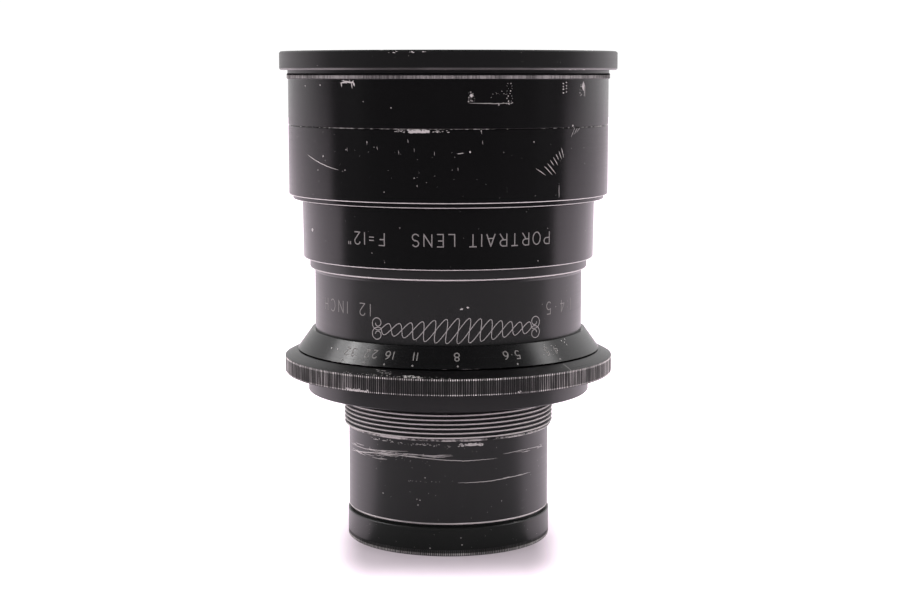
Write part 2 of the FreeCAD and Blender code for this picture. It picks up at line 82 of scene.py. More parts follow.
class Graph:
    """Builds shader nodes in one node tree."""

    def __init__(self, tree):
        self.tree = tree

    def add(self, kind, inputs=(), **settings):
        node = self.tree.nodes.new(kind)
        for name, value in settings.items():
            setattr(node, name, value)
        for name, value in dict(inputs).items():
            self.put(node.inputs[name], value)
        return node

    def put(self, socket, value):
        """Links a socket to another, or sets its value."""
        if isinstance(value, bpy.types.NodeSocket):
            self.tree.links.new(value, socket)
        else:
            socket.default_value = value

    def calc(self, operation, *values):
        node = self.add("ShaderNodeMath", operation=operation)
        for socket, value in zip(node.inputs, values):
            self.put(socket, value)
        return node.outputs[0]

    def plus(self, total, *others):
        """Sum of several values."""
        for value in others:
            total = self.calc("ADD", total, value)
        return total

    def times(self, product, *others):
        """Product of several values."""
        for value in others:
            product = self.calc("MULTIPLY", product, value)
        return product

    def ramp(self, value, low, high, start=0.0, end=1.0):
        """Smooth step of a value from low to high."""
        node = self.add("ShaderNodeMapRange", interpolation_type="SMOOTHSTEP")
        for name, put in zip(("Value", "From Min", "From Max", "To Min", "To Max"),
                             (value, low, high, start, end)):
            self.put(node.inputs[name], put)
        return node.outputs["Result"]

    def fade(self, off, half, strength):
        """Strength that fades to nought at half a width, all there up to 0.3 of that."""
        return self.ramp(off, 0.3 * half, half, strength, 0.0)

    def noise(self, vector, scale, detail=3.0, roughness=0.5):
        return self.add("ShaderNodeTexNoise", {
            "Vector": vector, "Scale": scale, "Detail": detail, "Roughness": roughness,
        }).outputs["Fac"]

    def blend(self, factor, first, second):
        """Mix of two colours."""
        node = self.add("ShaderNodeMix", data_type="RGBA")
        for index, value in ((0, factor), (6, first), (7, second)):
            self.put(node.inputs[index], value)
        return node.outputs[2]

    def combine(self, x, y, z):
        return self.add("ShaderNodeCombineXYZ", {"X": x, "Y": y, "Z": z}).outputs[0]

    def axes(self, vector):
        return self.add("ShaderNodeSeparateXYZ", {"Vector": vector}).outputs

    def length(self, x, y):
        """Length of a flat vector."""
        return self.calc("SQRT", self.plus(self.times(x, x), self.times(y, y)))

    def turn(self, x, y):
        """Angle about the lens axis in radians, from -Y towards +X."""
        return self.calc("ARCTAN2", x, self.times(y, -1.0))

    def off(self, value, at):
        """How far a value is from a number."""
        return self.calc("ABSOLUTE", self.calc("SUBTRACT", value, at))

    def between(self, value, low, high):
        """One where a value lies between two numbers, nought elsewhere."""
        return self.times(self.calc("GREATER_THAN", value, low),
                          self.calc("LESS_THAN", value, high))

    def vary(self, middle, noise, reach):
        """A value that a noise moves up and down by as much as half its reach."""
        return self.calc("MULTIPLY_ADD", self.calc("SUBTRACT", noise, 0.5), reach, middle)


def new_material(name):
    """Material with its graph, its main shader and its place on the lens."""
    material = bpy.data.materials.new(name)
    material.use_nodes = True
    g = Graph(material.node_tree)
    bsdf = material.node_tree.nodes["Principled BSDF"]
    place = g.add("ShaderNodeTexCoord").outputs["Object"]
    return material, g, bsdf, place


# The light tent is bright behind and beside the lens and dark on the camera's side.
TENT_DARK = 0.085
TENT_BRIGHT = 0.86
TENT_LEAST = 0.02
TENT_COLOUR = (1.0, 0.985, 0.99, 1)
TENT_TURN = (87, 122)      # degrees round from the camera's side where it turns bright
TENT_TOP = (0.5, 0.8)      # sine of the elevation where the walls end
TENT_STRIPS = (            # degrees round to the right, half width, added brightness
    (-70, 14, 0.12), (-90, 5, -0.1), (44, 12, 0.05), (72, 12, 0.14), (130, 34, 0.3))
LAMPS = (                  # degrees round, sine of elevation, half width, brightness
    (-87, 0.69, 0.13, 8.0), (-100, 0.63, 0.1, 22.0),
    (-113, 0.57, 0.1, 8.0), (99, 0.65, 0.19, 5.5))
BACKDROP = 1.05            # strength of the plain white that the camera itself sees


def tent():
    """World light; the camera itself sees plain white."""
    world = bpy.data.worlds.new("light_tent")
    world.use_nodes = True
    bpy.context.scene.world = world
    g = Graph(world.node_tree)
    x, y, z = g.axes(g.add("ShaderNodeTexCoord").outputs["Generated"])
    degrees = g.calc("DEGREES", g.turn(x, y))
    wall = g.times(g.ramp(g.calc("ABSOLUTE", degrees), *TENT_TURN),
                   g.ramp(z, *TENT_TOP, 1.0, 0.0))
    light = g.calc("MULTIPLY_ADD", wall, TENT_BRIGHT - TENT_DARK, TENT_DARK)
    for at, half, extra in TENT_STRIPS:
        light = g.plus(light, g.fade(g.off(degrees, at), half, extra))
    for at, up, half, extra in LAMPS:
        side = g.calc("RADIANS", g.off(degrees, at))
        light = g.plus(light, g.fade(g.length(side, g.off(z, up)), half, extra))
    lit = world.node_tree.nodes["Background"]
    g.put(lit.inputs["Strength"], g.calc("MAXIMUM", light, TENT_LEAST))
    lit.inputs["Color"].default_value = TENT_COLOUR
    seen = g.add("ShaderNodeBackground", {"Color": (1, 1, 1, 1), "Strength": BACKDROP})
    choose = g.add("ShaderNodeMixShader", {
        0: g.add("ShaderNodeLightPath").outputs["Is Camera Ray"],
        1: lit.outputs[0], 2: seen.outputs[0]})
    g.put(world.node_tree.nodes["World Output"].inputs["Surface"], choose.outputs[0])


SOFT_LIGHTS = (            # name, place, diameter, watts
    ("overhead", (0.0, 0.25, 1.1), 1.3, 16),
    ("left", (-1.0, -0.5, 0.5), 0.8, 5),
    ("right", (1.0, -0.5, 0.5), 0.8, 5))
AIM = (0, 0, 0.05)


def soft_light(name, location, size, power):
    """Large soft lamp that shows in no reflection."""
    data = bpy.data.lights.new(name, "AREA")
    data.shape = "DISK"
    data.size = size
    data.energy = power
    lamp = bpy.data.objects.new(name, data)
    lamp.location = location
    back = lamp.location - Vector(AIM)
    lamp.rotation_euler = back.to_track_quat("Z", "Y").to_euler()
    lamp.visible_glossy = False
    bpy.context.collection.objects.link(lamp)


# The glow of the table is turned down before the lens, a painted shadow and reflection of the lens
# over a strip narrower than its rear end.
SHADE_HALF_WIDTH = 0.017
SHADE_FRONT_Y = -0.022
SHADE_SIDE_FALL = 2.6      # how much faster the shade fades sideways than forwards
TABLE_GLOW = (0.006, 0.037, 0.15, 1.1)   # distances from the strip, and the glow at each
GLOW_IN_REFLECTIONS = 0.6  # share of the glow that the lens mirrors
# their pink tint shows mainly in the painted shadow before the lens
GLOW_COLOUR = (1.0, 0.88, 0.97, 1)
TABLE_COLOUR = (0.62, 0.55, 0.6, 1)
TABLE_Z = -0.05 * MM
CARD_COLOUR = (0.06, 0.06, 0.06, 1)
CARD_Z = 0.2 * MM
CARD_BACK_Y = -0.014
REACH = 4                  # how far the table and the card reach from the lens
MATT = 0.9


def flat_sheet(name, material, back, height):
    """Wide level rectangle that ends at a y behind it, for the table and the card."""
    mesh = bpy.data.meshes.new(name)
    corners = [(-REACH, -REACH, height), (REACH, -REACH, height),
               (REACH, back, height), (-REACH, back, height)]
    mesh.from_pydata(corners, [], [(0, 1, 2, 3)])
    mesh.materials.append(material)
    sheet = bpy.data.objects.new(name, mesh)
    bpy.context.collection.objects.link(sheet)
    return sheet


def table():
    """White table that glows from below, with a painted shadow and reflection of the lens where
    its glow is turned down.
    """
    material, g, bsdf, place = new_material("light_table")
    x, y, _ = g.axes(place)
    # painted shadow and reflection: the glow is turned down over a strip before the lens
    side = g.calc("SUBTRACT", g.calc("ABSOLUTE", x), SHADE_HALF_WIDTH)
    side = g.times(g.calc("MAXIMUM", side, 0.0), SHADE_SIDE_FALL)
    front = g.calc("MAXIMUM", g.calc("SUBTRACT", SHADE_FRONT_Y, y), 0.0)
    glow = g.ramp(g.length(side, front), *TABLE_GLOW)
    direct = g.add("ShaderNodeLightPath").outputs["Is Camera Ray"]
    share = g.calc("MULTIPLY_ADD", direct, 1.0 - GLOW_IN_REFLECTIONS, GLOW_IN_REFLECTIONS)
    bsdf.inputs["Base Color"].default_value = TABLE_COLOUR
    bsdf.inputs["Roughness"].default_value = MATT
    bsdf.inputs["Specular IOR Level"].default_value = 0.0
    bsdf.inputs["Emission Color"].default_value = GLOW_COLOUR
    g.put(bsdf.inputs["Emission Strength"], g.times(glow, share))
    flat_sheet("floor", material, REACH, TABLE_Z)


def dark_card():
    """Card in front of the lens that shows only in its reflections."""
    material, _, bsdf, _ = new_material("card_black")
    bsdf.inputs["Base Color"].default_value = CARD_COLOUR
    bsdf.inputs["Roughness"].default_value = MATT
    card = flat_sheet("card", material, CARD_BACK_Y, CARD_Z)
    card.visible_camera = card.visible_diffuse = card.visible_shadow = False


def studio():
    """Table, card and lamps."""
    table()
    dark_card()
    for light in SOFT_LIGHTS:
        soft_light(*light)
    bpy.context.scene.view_settings.view_transform = "Standard"


# ---------------- materials

BLACK = (0.0026, 0.0026, 0.0029, 1)
METAL = (0.62, 0.595, 0.58, 1)
POLISHED = (0.97, 0.94, 0.92, 1)    # where a strength above one has rubbed the metal bright

# How closely the noises follow each other
CHIPS_PER_METRE = 900.0
PATCHES_PER_METRE = 75.0
HAZE_PER_METRE = 40.0
SPECKS_PER_METRE = 260.0
GRIT_PER_METRE = 700.0
DUST_PER_METRE = 1500.0
TURNING = (0.4, 1.0, 9.0)  # per radian round, per mm outwards and per mm up
TEETH = (90.0, 0.06)       # per radian round and per mm up

# How the finish wears
RAGGED = 0.9               # how far the noises move the wear, up or down
RUBBED = (0.42, 0.62)      # wear at which metal begins to show, and shows fully
WEAR_NEEDED = (0.02, 0.12)  # wear below which the noises alone bare nothing
PATCHY = (0.38, 0.62, 0.45, 1.0)    # range of the broad noise, and the wear of crests there
SOME_TEETH = (0.4, 0.6)    # range of the noise that tells teeth apart
SIDE_HIGHLIGHT_REACH = (12 * MM, 30 * MM)        # sideways distances over which the painted side highlight grows
SPECK_SHARE = 0.04         # share of the cells that hold a speck
SPECK_SIZE = (0.02, 0.05)
HAZE_TINT = 1.35           # how much lighter the haze is
HAZE_ROUGH = 0.08
TURNED_ROUGH = 0.15
BARE_ROUGH = 0.25          # how much rougher bare metal is
BARE_METALLIC = 0.15
LINE_RELIEF = 0.6
BARE_RELIEF = -1.5
RELIEF = 0.02 * MM


def round_place(g, place):
    """Radius and height in mm, and the angle round the lens in radians."""
    x, y, z = g.axes(place)
    radius_mm = g.times(g.length(x, y), 1 / MM)
    height_mm = g.times(z, 1 / MM)
    return radius_mm, height_mm, g.turn(x, y)


def bump(g, bsdf, height, strength):
    """Fine relief on a material."""
    node = g.add("ShaderNodeBump", {"Height": height, "Strength": strength, "Distance": RELIEF})
    g.put(bsdf.inputs["Normal"], node.outputs[0])


def worn_edge(g, radius, height, at, half, strength, low_radius):
    """Wear along an edge at a height in mm, outside a radius."""
    wear = g.ramp(g.off(height, at), 0.35 * half, half, strength, 0.0)
    return g.times(wear, g.calc("GREATER_THAN", radius, low_radius))


def worn_band(g, radius, height, begin, full, low, high, strength):
    """Wear that grows from one radius in mm to another, between two heights."""
    wear = g.ramp(radius, begin, full, 0.0, strength)
    return g.times(wear, g.between(height, low, high))


def specks_of_metal(g, place, specks):
    """Rare round specks where the finish is gone."""
    dots = g.add("ShaderNodeTexVoronoi", {"Vector": place, "Scale": SPECKS_PER_METRE},
                 feature="F1")
    rare = g.calc("GREATER_THAN", g.axes(dots.outputs["Color"])[0], 1.0 - SPECK_SHARE * specks)
    return g.times(g.ramp(dots.outputs["Distance"], *SPECK_SIZE, 1.0, 0.0), rare)


def finish_coat(name, colour, roughness, edges=(), worn_radii=(), crests=(), specks=0.5,
                deep_radius=0.0, uneven=0.0):
    """Black finish that is rubbed to bare metal along edges; sizes are in mm.

    edges are (height, half width, strength, lowest radius), and worn_radii (radius where
    the wear begins, radius where it is full, lowest, highest, strength). crests are given
    like worn_radii and are rubbed evenly, as the teeth of a knurl are; a last number says
    how many times more bare metal they get at the left and right sides, a painted
    highlight where the bright sides of the tent light the teeth. Inside deep_radius the
    finish is the deepest black. uneven says how much more or less some teeth are rubbed
    than others.
    """
    material, g, bsdf, place = new_material(name)
    radius, height, turn = round_place(g, place)
    broad = g.noise(place, PATCHES_PER_METRE, 3.0)

    bare = specks_of_metal(g, place, specks)
    wear = [worn_edge(g, radius, height, *edge) for edge in edges]
    wear += [worn_band(g, radius, height, *band) for band in worn_radii]
    if wear:
        chips = g.noise(place, CHIPS_PER_METRE, 4.0, 0.6)
        ragged = g.calc("MULTIPLY_ADD", g.plus(chips, broad), RAGGED, -RAGGED)
        rubbed = g.times(g.ramp(g.plus(*wear, ragged), *RUBBED),
                         g.ramp(g.plus(*wear), *WEAR_NEEDED))
        bare = g.calc("MAXIMUM", rubbed, bare)

    by_tooth = g.noise(g.combine(g.times(turn, TEETH[0]), 0.0,
                                 g.times(height, TEETH[1])), 1.0, 2.0)
    sideways = g.calc("ABSOLUTE", g.axes(place)[0])
    # painted highlight: crests get more bare metal at the left and right sides, where the tent
    # lights them
    for *band, side_highlight in crests:
        crest = g.times(worn_band(g, radius, height, *band), g.ramp(broad, *PATCHY),
                        g.ramp(sideways, *SIDE_HIGHLIGHT_REACH, 1.0, side_highlight),
                        g.ramp(by_tooth, *SOME_TEETH, 1 - uneven, 1 + uneven))
        bare = g.calc("MAXIMUM", bare, crest)

    haze = g.noise(place, HAZE_PER_METRE, 5.0, 0.65)
    tint = g.blend(haze, colour, tuple(HAZE_TINT * c for c in colour[:3]) + (1,))
    if deep_radius:
        tint = g.blend(g.calc("GREATER_THAN", radius, deep_radius), BLACK, tint)
    worn = g.blend(bare, tint, METAL)
    g.put(bsdf.inputs["Base Color"], g.blend(g.calc("SUBTRACT", bare, 1.0), worn, POLISHED))
    g.put(bsdf.inputs["Metallic"], g.times(bare, BARE_METALLIC))
    turned = [g.times(*pair) for pair in zip((turn, radius, height), TURNING)]
    lines = g.noise(g.combine(*turned), 1.0, 4.0, 0.7)
    rough = g.vary(g.vary(roughness, haze, HAZE_ROUGH), lines, TURNED_ROUGH)
    g.put(bsdf.inputs["Roughness"], g.calc("MULTIPLY_ADD", bare, BARE_ROUGH, rough))
    relief = g.plus(g.times(lines, LINE_RELIEF), g.times(bare, BARE_RELIEF))
    bump(g, bsdf, relief, 0.25)
    return material


def plain_metal(name, colour, metallic, roughness):
    """Metal or paint with a fine uneven grain."""
    material, g, bsdf, place = new_material(name)
    grit = g.noise(place, GRIT_PER_METRE, 4.0, 0.6)
    darker = tuple(0.75 * c for c in colour[:3]) + (1,)
    g.put(bsdf.inputs["Base Color"], g.blend(grit, darker, colour))
    bsdf.inputs["Metallic"].default_value = metallic
    g.put(bsdf.inputs["Roughness"], g.vary(roughness, grit, 0.1))
    bump(g, bsdf, grit, 0.3)
    return material


GLASS_TINT = (0.97, 0.985, 0.975, 1)
GLASS_INDEX = 1.53


def glass():
    """Clear crown glass with a faint haze of dust."""
    material, g, bsdf, place = new_material("optical_glass")
    bsdf.inputs["Base Color"].default_value = GLASS_TINT
    bsdf.inputs["Transmission Weight"].default_value = 1.0
    bsdf.inputs["IOR"].default_value = GLASS_INDEX
    dust = g.noise(place, DUST_PER_METRE, 4.0, 0.7)
    g.put(bsdf.inputs["Roughness"], g.ramp(dust, 0.62, 0.75, 0.0, 0.12))
    return material


def rim_black():
    """Front rim, a little worn along both edges; its lower edge gets a little more bare metal at
    the left and right sides as a painted highlight.
    """
    return finish_coat("rim_black", (0.007, 0.007, 0.0072, 1), 0.34,
                       edges=((113.02, 0.16, 0.3, 40.0), (117.4, 0.2, 0.3, 40.0)),
                       crests=((39.9, 40.1, 112.9, 113.5, 0.1, 1.5),))


def cell_black():
    """Front cell, worn along its knurl and its seam."""
    return finish_coat("cell_black", BLACK, 0.22, edges=((100.07, 0.14, 0.4, 38.0),),
                       crests=((38.33, 38.4, 111.1, 111.8, 0.42, 1.0),
                               (37.9, 38.2, 99.98, 100.2, 0.1, 1.0)), uneven=0.35)


def front_black():
    """Front barrel, worn along its lower edge and its seam."""
    return finish_coat("front_barrel_black", BLACK, 0.2,
                       edges=((83.62, 0.26, 0.95, 37.9), (100.07, 0.14, 0.5, 38.0)))


def middle_black():
    """Middle barrel, worn along both edges."""
    return finish_coat("middle_barrel_black", BLACK, 0.22,
                       edges=((82.55, 0.22, 0.95, 36.9), (68.42, 0.3, 0.9, 34.5)))


def main_black():
    """Main barrel, less deep a black, worn along its upper edge."""
    return finish_coat("main_barrel_black", (0.018, 0.018, 0.0183, 1), 0.32,
                       edges=((66.05, 0.26, 0.95, 33.0),))


def scale_black():
    """Cone of the f-number scale, worn along its lower edge."""
    return finish_coat("scale_black", BLACK, 0.24, edges=((46.31, 0.12, 0.35, 36.3),))


def ring_black():
    """Aperture ring, its teeth worn bright at both ends, with a painted highlight on the teeth at
    its left and right sides.
    """
    return finish_coat("ring_black", (0.012, 0.012, 0.012, 1), 0.3,
                       worn_radii=((39.62, 39.7, 41.0, 44.4, 0.24),),
                       crests=((39.6, 39.67, 44.2, 44.85, 1.7, 1.3),
                               (39.6, 39.67, 40.6, 41.1, 1.7, 1.3),
                               # a faint wear over the whole knurl, raised at the left and right
                               # sides into a painted highlight
                               (39.6, 39.7, 41.0, 44.3, 0.12, 5.5)),
                       deep_radius=39.4, uneven=0.6)


def mount_black():
    """Mount, worn on the crests of its thread and along the edges of its tube."""
    return finish_coat("mount_black", (0.022, 0.022, 0.0226, 1), 0.36,
                       edges=((7.5, 0.3, 0.95, 24.0), (27.62, 0.4, 0.6, 24.5)),
                       worn_radii=((25.1, 25.3, 27.0, 36.0, 0.95),),
                       crests=((24.0, 24.2, 7.38, 7.9, 1.0, 1.0),), specks=0.8)


def rear_black():
    """Rear cell, worn along its upper edge and its knurl."""
    return finish_coat("rear_cell_black", (0.013, 0.014, 0.0135, 1), 0.32,
                       edges=((6.85, 0.2, 0.9, 24.2),),
                       crests=((24.5, 24.57, 0.14, 0.7, 1.0, 1.0),
                               (24.52, 24.61, 0.8, 1.42, 0.12, 1.0)), uneven=0.4)


# ---------------- turned and knurled pieces

TOUCH = 4e-6               # corners nearer each other than this are one corner
SHARP_ANGLE = 30


def outline_of(node, sector):
    """Cross-section of a turned CAD node as a closed loop of (radius, height).

    Only mesh edges inside a sector of polar angle are read, where the node has no hole.
    """
    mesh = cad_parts[node].data
    spots = np.array([v.co for v in mesh.vertices])
    polar = np.degrees(np.arctan2(spots[:, 1], spots[:, 0]))
    inside = (polar > sector[0]) & (polar < sector[1])
    flat = np.column_stack([np.hypot(spots[:, 0], spots[:, 1]), spots[:, 2]])
    corner = np.full(len(flat), -1)
    corners = []
    for i in np.flatnonzero(inside):
        if corner[i] < 0:
            corner[inside & (np.abs(flat - flat[i]).max(axis=1) < TOUCH)] = len(corners)
            corners.append(tuple(flat[i]))
    links = {c: set() for c in range(len(corners))}
    for edge in mesh.edges:
        a, b = (corner[v] for v in edge.vertices)
        if a >= 0 and b >= 0 and a != b:
            links[a].add(b)
            links[b].add(a)
    loop, last, here = [], -1, 0
    while not loop or here != 0:
        loop.append(corners[here])
        last, here = here, next(c for c in links[here] if c != last)
    return loop


def turned_faces(rows, steps, first=0, closed=False):
    """Faces between an outline of so many points and its turned copies."""
    faces = []
    for i in range(steps):
        a, b = first + i * rows, first + (i + 1) % steps * rows
        for j in range(rows if closed else rows - 1):
            k = (j + 1) % rows
            faces.append((a + j, b + j, b + k, a + k))
    return faces


def closed_mesh(name, points, faces):
    """Mesh with its faces turned outwards."""
    mesh = bpy.data.meshes.new(name)
    mesh.from_pydata(points, [], faces)
    shape = bmesh.new()
    shape.from_mesh(mesh)
    bmesh.ops.recalc_face_normals(shape, faces=shape.faces)
    shape.to_mesh(mesh)
    shape.free()
    return mesh


def mesh_piece(name, points, faces, material, body=BODY):
    """New closed piece, with a named material, that rides on a body."""
    mesh = closed_mesh(name, points, faces)
    mesh.shade_smooth()
    mesh.set_sharp_from_angle(angle=math.radians(SHARP_ANGLE))
    mesh.materials.append(MATERIALS[material])
    piece = bpy.data.objects.new(name, mesh)
    bpy.context.collection.objects.link(piece)
    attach(piece, body)
    return piece


def lathe(outline, columns):
    """Points and faces of a ring from a closed outline of (crest, root) corners.

    columns gives, for each column round the ring, how far it lies towards the root.
    """
    crest = np.array([c for c, _ in outline])
    root = np.array([r for _, r in outline])
    turn = 2 * math.pi * np.arange(len(columns)) / len(columns)
    points = []
    for angle, share in zip(turn, columns):
        flat = crest + share * (root - crest)
        points += [(r * math.cos(angle), r * math.sin(angle), z) for r, z in flat]
    return points, turned_faces(len(outline), len(columns), closed=True)


TOOTH = (0.0, 0.25, 0.8, 1.0, 0.8, 0.25)    # depth of one groove, from crest to crest
RUN_OUT = 0.06 * MM                         # height over which a knurl ends


def knurled(node, teeth, depth, band, sector, rise=0.0):
    """Points and faces of a turned node with a straight knurl inside a height band.

    rise is how far the upper end of a groove's floor lies above that of the crests.
    """
    loop = outline_of(node, sector)
    radius = max(r for r, z in loop if band[0] <= z <= band[1])
    outline = []
    for (r, z), (next_r, next_z) in zip(loop, loop[1:] + loop[:1]):
        root = (r, z)
        if abs(r - radius) < TOUCH and band[0] <= z <= band[1]:
            root = (r - depth, z + (rise if z > sum(band) / 2 else 0.0))
        outline.append(((r, z), root))
        if max(abs(r - radius), abs(next_r - radius)) < TOUCH:
            ends = [(end, -1 if end == band[0] else 1) for end in band
                    if min(z, next_z) < end < max(z, next_z)]
            for end, way in sorted(ends, reverse=bool(next_z < z)):
                rows = [((radius, end), (radius - depth, end)),
                        ((radius, end + way * RUN_OUT), (radius, end + way * RUN_OUT))]
                outline += rows if (next_z > z) == (way > 0) else rows[::-1]
    return lathe(outline, np.tile(TOOTH, teeth))


def cut(piece, cutter):
    """Takes a cutter's shape out of a piece and removes the cutter."""
    change = piece.modifiers.new("cut", "BOOLEAN")
    change.operation = "DIFFERENCE"
    change.solver = "EXACT"
    change.object = cutter
    bpy.context.view_layer.update()
    done = piece.evaluated_get(bpy.context.evaluated_depsgraph_get())
    mesh = bpy.data.meshes.new_from_object(done)
    piece.modifiers.clear()
    piece.data = mesh
    bpy.data.objects.remove(cutter)


def screw_well():
    """Stepped round cutter for the drive screw at the back of the aperture ring."""
    screw_low, screw_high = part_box("aperture_drive_screw")
    height = (screw_low.z + screw_high.z) / 2
    head_r = (screw_high.z - screw_low.z) / 2 + 0.1 * MM
    shank_r, seat, inner, outer = 0.62 * MM, 37.6 * MM, 31 * MM, 42 * MM
    corners = [(shank_r, inner), (shank_r, seat), (head_r, seat), (head_r, outer)]
    steps = 32
    points = []
    for i in range(steps):
        turn = 2 * math.pi * i / steps
        points += [(r * math.cos(turn), y, height + r * math.sin(turn)) for r, y in corners]
    rows = len(corners)
    faces = turned_faces(rows, steps)
    faces += [tuple(i * rows + end for i in range(steps)) for end in (0, rows - 1)]
    well = bpy.data.objects.new("screw_well", closed_mesh("screw_well", points, faces))
    bpy.context.collection.objects.link(well)
    return well


def arc_heights(radius, curve, edge):
    """(radius, height) along a spherical face from the axis out, bulging up if curve > 0."""
    steps = 24
    found = []
    for i in range(steps + 1):
        r = radius * i / steps
        bulge = math.sqrt(curve ** 2 - r ** 2) - math.sqrt(curve ** 2 - radius ** 2)
        found.append((r, edge + math.copysign(bulge, curve)))
    return found


def doublet(name, nodes, rim, clear, top, bottom):
    """Cemented pair as one glass, so that no face lies inside; sizes are in mm.

    top and bottom are (radius of curvature, height of the edge).
    """
    upper = arc_heights(clear, *top)
    lower = arc_heights(clear, *bottom)
    outline = upper + [(rim, top[1]), (rim, bottom[1])] + lower[::-1]
    steps = 192
    points = [(0.0, 0.0, z * MM) for z in (outline[0][1], outline[-1][1])]
    body = outline[1:-1]
    rows = len(body)
    for i in range(steps):
        turn = 2 * math.pi * i / steps
        points += [(r * math.cos(turn) * MM, r * math.sin(turn) * MM, z * MM) for r, z in body]
    faces = turned_faces(rows, steps, 2)
    for i in range(steps):
        a, b = 2 + i * rows, 2 + (i + 1) % steps * rows
        faces += [(0, a, b), (1, b + rows - 1, a + rows - 1)]
    piece = mesh_piece(name, points, faces, "optical_glass")
    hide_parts(*nodes)


# ---------------- engraving and wear marks

FACES = {                  # lower height, radius there, upper height, radius there, in mm
    "rim": (113.4, 40.4, 117.0, 40.4),
    "front": (83.8, 38.35, 110.8, 38.35),
    "middle": (68.7, 35.0, 82.1, 35.16),
    "main": (51.0, 32.3, 65.1, 32.3),
    "cone": (46.31, 36.6, 51.02, 33.2),
    "bevel": (44.57, 39.7, 46.04, 36.8),
    "knurl": (40.9, 39.66, 44.4, 39.66),
    "tube": (7.65, 24.35, 27.4, 24.35),
    "rear": (1.4, 24.63, 6.5, 24.63),
}
FINE_STEP = 0.5            # longest stretch between two points of a stroke, in mm
LEAST_BEND = 0.6           # how sharp a bend may be before its mitre stops growing
LEAST_REACH = 0.5          # shortest scratch of a hatching, in degrees
WAVER = 0.03               # how far a scratch strays from its line, in mm


def face_radius(face, height):
    """Radius of a turned face at a height, in mm."""
    low, low_r, high, high_r = FACES[face]
    return low_r + (height - low) / (high - low) * (high_r - low_r)


def face_tilt(face):
    """How far a face leans back from upright."""
    low, low_r, high, high_r = FACES[face]
    return math.atan2(low_r - high_r, high - low)


def on_face(face, degrees, height, lift):
    """Point over a turned face."""
    tilt = face_tilt(face)
    radius = face_radius(face, height) * MM + lift * math.cos(tilt)
    turn = math.radians(degrees)
    return (radius * math.sin(turn), -radius * math.cos(turn), height * MM + lift * math.sin(tilt))


class Marks:
    """Thin closed shapes that lie on turned faces, gathered into one piece."""

    def __init__(self, seed=1):
        self.points, self.faces = [], []
        self.random = np.random.default_rng(seed)
        self.made = 0

    def place(self, face, degrees, height, flat, lift):
        """Turns flat offsets in mm from an anchor into a point on a face."""
        up = height + flat[1] * math.cos(face_tilt(face))
        across = math.degrees(flat[0] / face_radius(face, height))
        return on_face(face, degrees + across, up, lift)

    def next_lift(self):
        """Height of the next mark, a little different from its neighbours'."""
        self.made += 1
        return LIFT + self.made % 5 * LIFT_STEP

    def ribbon(self, face, degrees, height, line, width, taper=0.0):
        """Stroke of a width in mm along a line of flat offsets from an anchor."""
        line = finer(line)
        ends = np.linspace(-1, 1, len(line))
        lift = self.next_lift()
        start = len(self.points)
        for i, here in enumerate(line):
            before, after = line[max(i - 1, 0)], line[min(i + 1, len(line) - 1)]
            along = unit(after - before)
            bend = 1.0
            if 0 < i < len(line) - 1:
                bend = max(LEAST_BEND, float(np.dot(unit(here - before), along)))
            half = 0.5 * width / bend * (1 - taper * abs(ends[i]) ** 3)
            side = half * np.array([-along[1], along[0]])
            for flat, level in ((here + side, lift), (here - side, lift),
                                (here - side, -SINK), (here + side, -SINK)):
                self.points.append(self.place(face, degrees, height, flat, level))
        last = start + 4 * (len(line) - 1)
        for a in range(start, last, 4):
            for j in range(4):
                k = (j + 1) % 4
                self.faces.append((a + j, a + k, a + 4 + k, a + 4 + j))
        self.faces.append((start, start + 3, start + 2, start + 1))
        self.faces.append((last, last + 1, last + 2, last + 3))

    def spot(self, face, degrees, height, wide, tall=None, rough=0.3, corners=9):
        """Ragged round spot."""
        tall = wide if tall is None else tall
        lift = self.next_lift()
        start = len(self.points)
        shifts = self.random.uniform(-0.3, 0.3, corners)
        turns = 2 * math.pi * (np.arange(corners) + shifts) / corners
        sizes = 0.5 * self.random.uniform(1 - rough, 1 + rough, corners)
        for level in (lift, -SINK):
            for turn, size in zip(turns, sizes):
                flat = (wide * size * math.cos(turn), tall * size * math.sin(turn))
                self.points.append(self.place(face, degrees, height, flat, level))
        top = list(range(start, start + corners))
        self.faces += [tuple(top), tuple(i + corners for i in reversed(top))]
        for i in range(corners):
            k = (i + 1) % corners
            self.faces.append((start + i, start + corners + i, start + corners + k, start + k))

    def spots(self, face, places):
        """A spot at each (degrees, height, size)."""
        for degrees, height, size in places:
            self.spot(face, degrees, height, size)

    def scatter(self, face, turn, rise, count, size, stretch=1.0):
        """Many small spots in an area between two angles and two heights."""
        for _ in range(count):
            wide = size * self.random.uniform(0.35, 1.0)
            self.spot(face, self.random.uniform(*turn), self.random.uniform(*rise),
                      wide * stretch, wide * self.random.uniform(0.5, 1.0), 0.45, 7)

    def scratch(self, face, ends, width):
        """Tapered, slightly wavering line through (degrees, height) points."""
        anchor = ends[0]
        radius = face_radius(face, anchor[1])
        line = finer([(math.radians(a - anchor[0]) * radius, z - anchor[1]) for a, z in ends])
        line[1:-1] += self.random.uniform(-WAVER, WAVER, (len(line) - 2, 2))
        self.ribbon(face, *anchor, line, width, taper=0.8)

    def hatch(self, face, turn, rise, count, width, length):
        """Broken scratches that run round a face, inside an area."""
        for _ in range(count):
            a, z = self.random.uniform(*turn), self.random.uniform(*rise)
            reach = length * self.random.uniform(0.3, 1.0)
            a_end = min(a + reach, turn[1])
            if a_end - a > LEAST_REACH:
                self.scratch(face, [(a, z), (a_end, z + self.random.uniform(-0.06, 0.06))],
                             width * self.random.uniform(0.6, 1.2))

    def piece(self, name, material, body=BODY):
        """Makes all the marks one piece."""
        mesh_piece(name, self.points, self.faces, material, body)


